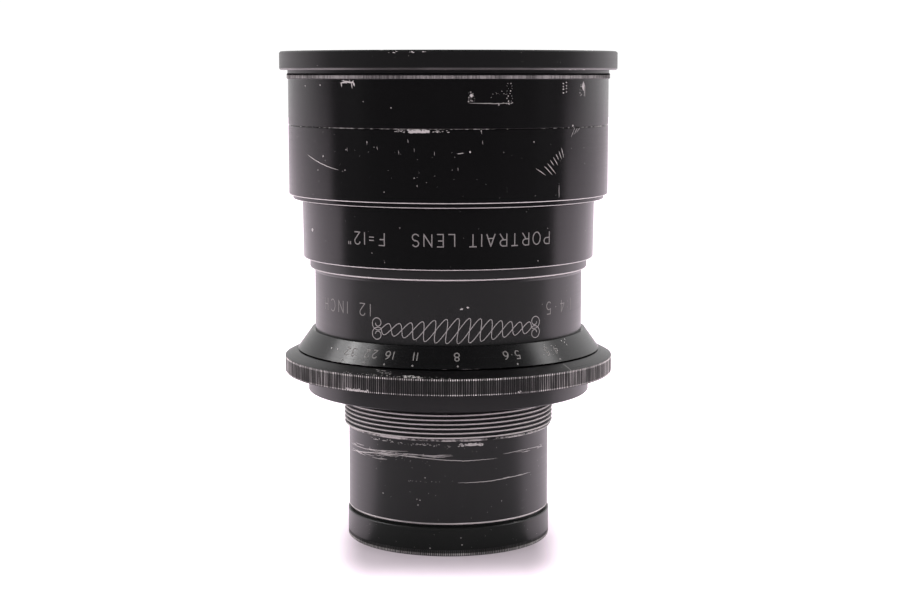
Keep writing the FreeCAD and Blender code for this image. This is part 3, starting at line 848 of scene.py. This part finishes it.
def unit(vector):
    """Direction of a flat vector, or rightwards if it has no length."""
    length = float(np.hypot(*vector))
    return np.asarray(vector) / length if length else np.array([1.0, 0.0])


def finer(line):
    """A line with points no further apart than the fine step in mm."""
    line = [np.array(p, float) for p in line]
    found = [line[0]]
    for start, end in zip(line, line[1:]):
        count = max(1, math.ceil(float(np.hypot(*(end - start))) / FINE_STEP))
        found += [start + (end - start) * i / count for i in range(1, count + 1)]
    return np.array(found)


def arc(x, y, wide, tall, start, end, steps=14):
    """Points along an ellipse between two angles in degrees."""
    turns = np.radians(np.linspace(start, end, steps + 1))
    return [(x + wide * math.cos(t), y + tall * math.sin(t)) for t in turns]


BOWL = [(0, 0), (0, 1), (0.3, 1)] + arc(0.3, 0.75, 0.27, 0.25, 90, -90) + [(0, 0.5)]
GLYPHS = {                 # width, and strokes in a cell one unit tall
    "1": (0.0, [[(0, 0), (0, 1)]]),
    "2": (0.56, [arc(0.27, 0.73, 0.27, 0.27, 170, -35) + [(0.02, 0), (0.56, 0)]]),
    "3": (0.54, [arc(0.26, 0.76, 0.24, 0.24, 160, -90), arc(0.26, 0.27, 0.28, 0.27, 90, -160)]),
    "4": (0.6, [[(0.44, 0), (0.44, 1), (0, 0.3), (0.6, 0.3)]]),
    "5": (0.54, [[(0.5, 1), (0.08, 1), (0.04, 0.56)] + arc(0.26, 0.32, 0.28, 0.32, 128, -140)]),
    "6": (0.56, [arc(0.56, 0.32, 0.56, 0.68, 100, 180) + arc(0.28, 0.3, 0.28, 0.3, 180, -180)]),
    "8": (0.56, [arc(0.28, 0.76, 0.23, 0.24, -90, 270), arc(0.28, 0.26, 0.28, 0.26, 90, -270)]),
    "P": (0.57, [BOWL]),
    "R": (0.6, [BOWL, [(0.28, 0.5), (0.6, 0)]]),
    "O": (0.74, [arc(0.37, 0.5, 0.37, 0.5, 90, -270, 20)]),
    "T": (0.6, [[(0, 1), (0.6, 1)], [(0.3, 1), (0.3, 0)]]),
    "A": (0.7, [[(0, 0), (0.35, 1), (0.7, 0)], [(0.13, 0.36), (0.57, 0.36)]]),
    "I": (0.0, [[(0, 0), (0, 1)]]),
    "L": (0.5, [[(0, 1), (0, 0), (0.5, 0)]]),
    "E": (0.5, [[(0.5, 1), (0, 1), (0, 0), (0.5, 0)], [(0, 0.52), (0.42, 0.52)]]),
    "F": (0.5, [[(0.5, 1), (0, 1), (0, 0)], [(0, 0.52), (0.42, 0.52)]]),
    "N": (0.64, [[(0, 0), (0, 1), (0.64, 0), (0.64, 1)]]),
    "S": (0.54, [arc(0.27, 0.76, 0.25, 0.24, 20, 270, 12)
                 + arc(0.27, 0.26, 0.27, 0.26, 90, -160, 12)]),
    "H": (0.6, [[(0, 0), (0, 1)], [(0.6, 0), (0.6, 1)], [(0, 0.5), (0.6, 0.5)]]),
    "C": (0.66, [arc(0.37, 0.5, 0.37, 0.5, 45, 315, 18)]),
    "=": (0.45, [[(0, 0.36), (0.45, 0.36)], [(0, 0.62), (0.45, 0.62)]]),
    "\"": (0.2, [[(0, 1.05), (0, 0.8)], [(0.2, 1.05), (0.2, 0.8)]]),
    ":": (0.04, [[(0, 0.2), (0.04, 0.2)], [(0, 0.7), (0.04, 0.7)]]),
    ".": (0.1, [[(0, 0.48), (0.1, 0.48)]]),
    " ": (0.35, []),
}


def inscribe(marks, face, degrees, height, text, tall, width, gap, centred=False):
    """Engraves text that stands on its head, its left end (or middle) at an angle.

    tall and width, of the letters and their strokes, are in mm; gap is a share of tall.
    """
    long = sum(GLYPHS[c][0] + gap for c in text) - gap
    x = -long / 2 if centred else 0.0
    for c in text:
        for stroke in GLYPHS[c][1]:
            line = [(-tall * (x + px), tall * (0.5 - py)) for px, py in stroke]
            marks.ribbon(face, degrees, height, line, width)
        x += GLYPHS[c][0] + gap


def rim_marks(m):
    """Specks on the front rim."""
    m.scatter("rim", (-19, -5), (116.7, 117.0), 10, 0.35, 2.0)
    m.scatter("rim", (-55, 50), (113.4, 117.0), 10, 0.14)


def front_cell_marks(m):
    """Chips and rubbed outlines round the front cell."""
    # chips in a row, with strokes down from its ends
    m.scatter("front", (-38.6, -33.2), (110.1, 110.7), 34, 0.3)
    m.scratch("front", [(-39.0, 110.1), (-36.0, 110.4), (-32.9, 110.1)], 0.36)
    m.scratch("front", [(-38.7, 110.3), (-38.3, 109.2)], 0.26)
    m.scratch("front", [(-34.1, 110.3), (-33.9, 108.9)], 0.22)
    m.scratch("front", [(-33.5, 110.4), (-32.9, 109.4)], 0.4)
    # rubbed outline of three sides: left, foot and a dotted right
    m.spot("front", 7.6, 107.4, 0.5, 0.9, 0.4)
    m.scatter("front", (6.6, 8.8), (105.7, 108.2), 16, 0.35)
    m.scratch("front", [(6.8, 105.8), (15.5, 105.65), (22.0, 105.75)], 0.09)
    m.scatter("front", (6.8, 22), (105.65, 105.85), 22, 0.15)
    m.scatter("front", (19.5, 22), (105.5, 106.0), 10, 0.26)
    for degrees in (20.2, 21.2):
        for z in np.arange(106.2, 110.6, 0.55):
            size = m.random.uniform(0.08, 0.26)
            m.spot("front", degrees + 0.5 * m.random.uniform(-1, 1), z, size, 1.3 * size, 0.4)
    m.scatter("front", (13.5, 20), (106.6, 108.4), 10, 0.22)
    # two short columns of dots, and a long bare chip beside a scratch
    for z in (107.9, 108.7, 109.3, 110.0):
        m.spot("front", 42.4, z, 0.5, 0.26, 0.4)
        m.spot("front", 43.9, z + 0.2, 0.36, 0.26, 0.4)
    m.scratch("front", [(53.2, 110.4), (54.1, 109.4), (54.2, 107.0)], 0.16)
    m.spot("front", 53.2, 109.1, 0.6, 1.7, 0.5)
    m.scatter("front", (51, 54), (107.2, 109.8), 12, 0.3)
    m.spots("front", ((-49.1, 109.6, 0.3), (-29.5, 106.0, 0.2), (-19.2, 104.7, 0.22),
                      (-58.7, 109.4, 0.3), (16.9, 105.4, 0.3), (47.4, 100.5, 0.4)))


def front_barrel_marks(m):
    """Chips and scratches round the front barrel."""
    # worn patch under the cell's seam
    m.scatter("front", (-18, 0.6), (99.35, 99.95), 60, 0.26, 1.8)
    m.scatter("front", (-13, -6.4), (99.25, 99.9), 70, 0.4, 1.6)
    m.hatch("front", (-13, -6.6), (99.3, 99.85), 12, 0.2, 4)
    # one long curved scratch
    m.scratch("front", [(-57.2, 93.7), (-53, 92.7), (-48.4, 91.8), (-44, 91.1),
                        (-40.4, 90.7)], 0.16)
    # row of strokes that climbs to the right and grows steeper
    m.scratch("front", [(30.7, 91.2), (34.7, 89.6)], 0.13)
    for step in np.linspace(0, 1, 7):
        degrees, z = 34.2 + 7.5 * step, 91.6 + 4 * step
        drop = m.random.uniform(1.2, 2.6)
        m.scratch("front", [(degrees, z), (degrees + (1.7 - 1.2 * step) * drop, z - drop)], 0.13)
    for step in range(3):
        low = (46.4 + 1.5 * step, 97.9 + 0.5 * step)
        m.scratch("front", [low, (48.4 + 1.5 * step, 100.0)], 0.08)
    m.scratch("front", [(40.7, 87.3), (40.7, 84.4)], 0.1)
    m.scratch("front", [(2.9, 94.7), (5.2, 94.85)], 0.15)
    for degrees, z in ((-28.2, 97.4), (-24.3, 96.3), (-16.6, 95.4), (-11.3, 95.9), (11.0, 99.9),
                       (11.4, 97.6), (-4.6, 95.2), (-13.4, 97.9), (3.2, 91.8), (-36.2, 95.8)):
        m.scratch("front", [(degrees, z), (degrees + 0.1, z - 0.9)], 0.07)
    m.spots("front", (
        (-47.8, 93.6, 0.4), (-37.2, 90.7, 0.2), (-36.7, 95.3, 0.22), (-28.1, 97.1, 0.2),
        (29.9, 97.1, 0.25), (7.2, 95.1, 0.42), (-11.3, 89.3, 0.22), (-21.8, 86.1, 0.2),
        (-10.3, 87.6, 0.2), (10.9, 99.7, 0.25), (-25.4, 96.0, 0.18), (-50.8, 90.4, 0.25)))
    m.scatter("front", (-75, 75), (84.5, 99.5), 70, 0.14)
    # the side that the photo doesn't show
    m.scatter("front", (100, 260), (84.5, 110.5), 120, 0.22)
    m.hatch("front", (100, 260), (85, 110), 7, 0.07, 14)


def lower_barrel_marks(m):
    """Specks on the middle and main barrels."""
    m.spot("middle", -64.9, 75.8, 0.9, 0.6, 0.5)
    m.spots("middle", ((-29.5, 72.0, 0.22), (-18, 77.9, 0.2), (35.6, 70.0, 0.24)))
    m.scatter("middle", (-180, 180), (69, 82), 60, 0.14)
    m.spot("main", 7.9, 59.75, 0.5, 0.5, 0.4)
    m.spot("main", 5.3, 59.4, 0.9, 0.3, 0.4)
    m.scatter("main", (-180, 180), (51.5, 65), 46, 0.13)
    m.hatch("main", (110, 250), (52, 64), 4, 0.07, 12)


def cone_marks(m):
    """Specks beside the f-number scale; the first two are painted highlights, bright glints rather
    than bare chips.
    """
    # the first two spots are painted highlights
    m.spots("cone", ((-51.3, 48.95, 0.34), (-47.5, 48.95, 0.3), (51.6, 50.5, 0.3),
                     (53.0, 50.1, 0.3), (54.4, 50.7, 0.3), (53.6, 49.5, 0.3)))
    m.scatter("cone", (38, 47), (47.8, 50.4), 12, 0.24)


def upper_marks():
    """Wear from the front rim down to the scale, and two painted glints beside the scale."""
    m = Marks(11)
    rim_marks(m)
    front_cell_marks(m)
    front_barrel_marks(m)
    lower_barrel_marks(m)
    cone_marks(m)
    m.piece("bare_spots_and_glints_upper", "bare_metal")


def tube_chips(m):
    """Chips just under the flange thread."""
    m.scatter("tube", (-51, -32), (26.3, 26.9), 20, 0.17, 2.2)
    m.hatch("tube", (-51, -32), (26.3, 26.9), 5, 0.1, 4)
    m.scatter("tube", (-29, -18), (26.1, 26.6), 14, 0.17, 2.0)
    m.scatter("tube", (-18, -9), (26.3, 26.7), 18, 0.18, 2.2)
    m.scatter("tube", (-8, 2), (25.6, 26.6), 14, 0.2, 1.6)
    m.scatter("tube", (5.3, 19.4), (26.15, 26.8), 60, 0.28, 2.0)
    m.hatch("tube", (5.3, 19.4), (26.2, 26.8), 14, 0.16, 5)


def tube_scratches(m):
    """Scratches that run round the tube."""
    m.hatch("tube", (-74, -28), (21.8, 24.3), 20, 0.09, 11)
    m.hatch("tube", (-52, 2), (23.4, 24.2), 16, 0.08, 12)
    m.scatter("tube", (-72, -10), (22.0, 24.3), 46, 0.13, 1.8)
    m.scratch("tube", [(-73.5, 23.4), (-53.6, 23.5), (-29.6, 24.4), (-22.7, 24.6)], 0.12)
    m.scratch("tube", [(-73.6, 21.7), (-45.4, 23.1), (-29.6, 23.5), (-18, 23.5)], 0.16)
    m.scratch("tube", [(-22.7, 24.0), (-10, 23.9), (2.6, 23.9)], 0.12)
    m.scratch("tube", [(-49.8, 23.5), (-27.7, 23.5), (-14.6, 23.3), (8.1, 22.7),
                       (27.9, 22.8)], 0.13)
    m.scratch("tube", [(31.8, 23.6), (44.1, 23.8), (52, 23.7)], 0.09)
    m.scratch("tube", [(50, 23.8), (60, 23.5), (69.8, 22.9)], 0.08)
    m.hatch("tube", (40, 68), (23.0, 23.9), 7, 0.07, 8)
    m.scratch("tube", [(5.3, 17.5), (23.7, 17.5), (36.7, 17.8), (53.1, 17.9)], 0.14)
    m.hatch("tube", (30, 52), (17.7, 18.0), 4, 0.08, 7)
    m.scatter("tube", (-22.8, -4), (17.4, 17.8), 16, 0.12, 1.8)
    m.spots("tube", ((-15.8, 13.2, 0.3), (-39.3, 13.8, 0.25), (-16.9, 12.0, 0.24),
                     (-12.9, 18.6, 0.22), (-17.5, 13.4, 0.2), (31, 12.4, 0.2)))
    m.scatter("tube", (-180, 180), (8.4, 27.1), 110, 0.15)
    m.hatch("tube", (100, 250), (19, 24), 16, 0.08, 26)
    m.scatter("tube", (110, 240), (25.4, 26.9), 40, 0.2, 1.8)


def lower_marks():
    """Wear on the tube and the rear cell."""
    m = Marks(12)
    tube_chips(m)
    tube_scratches(m)
    m.spots("rear", ((7.5, 2.7, 0.3), (6.9, 4.4, 0.25), (-10, 1.9, 0.3)))
    m.scatter("rear", (-180, 180), (1.8, 6.2), 40, 0.14)
    m.piece("bare_spots_lower", "bare_metal")


def ring_marks():
    """Chips along the bevel of the aperture ring, and its index line."""
    m = Marks(13)
    m.scatter("bevel", (-38, 2), (44.72, 45.0), 46, 0.24, 1.6)
    m.scatter("bevel", (-17, -9), (44.75, 45.2), 24, 0.4, 1.5)
    m.spot("bevel", -14.4, 45.0, 0.9, 0.4, 0.5)
    m.spot("bevel", -11.4, 44.95, 0.7, 0.35, 0.5)
    m.scatter("bevel", (-26, -19), (45.2, 45.8), 18, 0.3, 1.7)
    m.scatter("bevel", (-180, 180), (44.75, 45.9), 40, 0.16)
    # worn patch on the lower edge of the knurl
    m.scatter("knurl", (-36, -27), (40.95, 41.4), 60, 0.34, 1.4)
    m.spot("knurl", -33.4, 41.1, 1.2, 0.4, 0.4)
    m.spot("knurl", -31.6, 41.1, 1.3, 0.4, 0.4)
    m.spot("knurl", -29.6, 41.05, 1.0, 0.3, 0.4)
    m.spots("knurl", ((23.5, 41.15, 0.35), (24.2, 41.3, 0.3), (-61, 44.2, 0.3)))
    m.piece("ring_bare_spots", "bare_metal", RING)
    index = Marks()
    index.ribbon("bevel", INDEX_ANGLE, 44.7, [(0, 0), (0, INDEX_LONG)], INDEX_WIDE)
    index.piece("index_line", "engraving_fill", RING)


STOPS = (("4.5", 45.5), ("5.6", 25.8), ("8", 3.4), ("11", -12.9), ("16", -23.7), ("22", -31.9),
         ("32", -42.2))
INDEX_ANGLE = 45.5
INDEX_LONG = 2.65
INDEX_WIDE = 0.26
NUMBER_TALL = 2.0
NUMBER_LINE = 0.25
NUMBER_GAP = 0.42
NUMBER_HEIGHT = 48.85
NUMBER_CROWDING = 0.95     # the numbers stand a little nearer the middle than their dots
DOT_HEIGHT = 46.95
DOT_WIDE = 0.5
LETTER_TALL = 2.8
LETTERING = (              # face, degrees, height, text, stroke and gap
    ("middle", 41.0, 75.2, "PORTRAIT LENS", 0.25, 0.41),
    ("middle", -24.2, 75.2, "F=12\"", 0.25, 0.45),
    ("main", -33.5, 58.5, "12 INCH", 0.22, 0.55),
    ("main", 63.0, 58.4, "1:4.5", 0.22, 0.6))


def scale():
    """Numbers of the f-number scale and a dot under each."""
    m = Marks()
    for text, degrees in STOPS:
        inscribe(m, "cone", NUMBER_CROWDING * degrees, NUMBER_HEIGHT, text, NUMBER_TALL,
                 NUMBER_LINE, NUMBER_GAP, centred=True)
        m.spot("cone", degrees, DOT_HEIGHT, DOT_WIDE, DOT_WIDE, rough=0.05, corners=12)
    m.piece("f_number_scale", "engraving_fill")


def barrel_lettering():
    """Plain words and sizes round the middle and main barrels."""
    m = Marks()
    for face, degrees, height, text, line, gap in LETTERING:
        inscribe(m, face, degrees, height, text, LETTER_TALL, line, gap)
    m.piece("barrel_lettering", "engraving_fill")


BRAID_MIDDLE = (4.0, 54.4)     # degrees and height
BRAID_HALF_LENGTH = 18.2
BRAID_PERIOD = 5.2
BRAID_HEIGHT = (1.3, 2.9)      # half its height at the ends and in the middle
BRAID_SLANT = 0.45
BRAID_LINE = 0.17
SCROLL_MIDDLE = (1.0, 1.3)     # outwards from the end of the braid, and up or down
SCROLL_R = (1.7, 0.5)
SCROLL_HALF_TURNS = 2.7


def scroll(way):
    """Spiral that starts where the braid ends, in mm outwards and up (or down)."""
    middle = np.array([SCROLL_MIDDLE[0], SCROLL_MIDDLE[1] * way])
    start = math.atan2(-middle[1], -middle[0])
    spiral = []
    for t in np.linspace(0, 1, 40):
        turn = start + way * SCROLL_HALF_TURNS * math.pi * t
        radius = SCROLL_R[0] + (SCROLL_R[1] - SCROLL_R[0]) * t
        spiral.append(middle + radius * np.array([math.cos(turn), math.sin(turn)]))
    return spiral


def braid_strand(way):
    """Slanted wave that is tallest in the middle; the other way it crosses this one."""
    low, high = BRAID_HEIGHT
    strand = []
    for t in np.linspace(-1, 1, 201):
        x = BRAID_HALF_LENGTH * t
        tall = low + (high - low) * math.cos(math.pi * t / 2) ** 2
        y = way * tall * math.sin(2 * math.pi * x / BRAID_PERIOD)
        strand.append((x + BRAID_SLANT * y, y))
    return strand


def ornament():
    """Braid of two strands round the main barrel, with scrolls at both ends."""
    m = Marks()
    for way in (-1, 1):
        m.ribbon("main", *BRAID_MIDDLE, braid_strand(way), BRAID_LINE)
        for side in (-1, 1):
            curl = [(side * (BRAID_HALF_LENGTH + x), y) for x, y in scroll(way)]
            m.ribbon("main", *BRAID_MIDDLE, curl, BRAID_LINE)
    m.piece("barrel_ornament", "bright_engraving")


# ---------------- the whole lens

MATERIALS = {
    "rim": rim_black(), "cell": cell_black(), "front": front_black(),
    "middle": middle_black(), "main": main_black(), "scale": scale_black(),
    "ring": ring_black(), "mount": mount_black(), "rear": rear_black(),
    "dull_black": plain_metal("dull_black", (0.012, 0.012, 0.012, 1), 0.0, 0.62),
    "blued_steel": plain_metal("blued_steel", (0.10, 0.105, 0.12, 1), 0.9, 0.38),
    "rotor_brass": plain_metal("rotor_brass", (0.55, 0.40, 0.17, 1), 1.0, 0.35),
    "bare_metal": plain_metal("bare_metal", METAL, 0.15, 0.45),
    "engraving_fill": plain_metal("engraving_fill", (0.25, 0.24, 0.232, 1), 0.0, 0.65),
    "bright_engraving": plain_metal("bright_engraving", (0.4, 0.385, 0.375, 1), 0.0, 0.6),
    "optical_glass": glass(),
}

NODE_MATERIALS = {
    "front_rim": "rim", "front_barrel": "front", "middle_barrel": "middle",
    "main_barrel": "main", "scale_ring": "scale", "mount_body": "mount",
    "iris_rotor": "rotor_brass",
    "aperture_drive_screw": "blued_steel", "scale_grub_screws": "blued_steel",
}


def clothe_nodes():
    """Gives every CAD node its material; the unlisted are iris blades, dull or replaced."""
    for name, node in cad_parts.items():
        other = "blued_steel" if name.startswith("iris_blade") else "dull_black"
        kind = NODE_MATERIALS.get(name, other)
        node.data.materials.clear()
        node.data.materials.append(MATERIALS[kind])


def knurled_pieces():
    """The three knurled parts, cut finer than their plain CAD nodes."""
    points, faces = knurled("aperture_ring", teeth=480, depth=0.2 * MM, rise=0.1 * MM,
                            band=(40.8 * MM, 44.6 * MM), sector=(-30, 30))
    ring = mesh_piece("knurled_aperture_ring", points, faces, "ring", RING)
    cut(ring, screw_well())
    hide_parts("aperture_ring")
    points, faces = knurled("front_cell", teeth=480, depth=0.16 * MM,
                            band=(111.0 * MM, 112.3 * MM), sector=(-60, 60))
    cell = mesh_piece("knurled_front_cell", points, faces, "cell")
    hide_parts("front_cell")
    points, faces = knurled("rear_cell", teeth=330, depth=0.14 * MM,
                            band=(0.1 * MM, 1.4 * MM), sector=(-60, 60))
    rear = mesh_piece("knurled_rear_cell", points, faces, "rear")
    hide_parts("rear_cell")


clothe_nodes()
knurled_pieces()
doublet("front_doublet", ("front_crown_element", "front_flint_element"), rim=35.0, clear=34.2,
        top=(95, 105.3), bottom=(-300, 93.05))
doublet("rear_doublet", ("rear_negative_element", "rear_positive_element"), rim=20.5,
        clear=19.7, top=(-75, 14.4), bottom=(180, 3.6))
scale()
barrel_lettering()
ornament()
upper_marks()
lower_marks()
ring_marks()
camera()
tent()
studio()
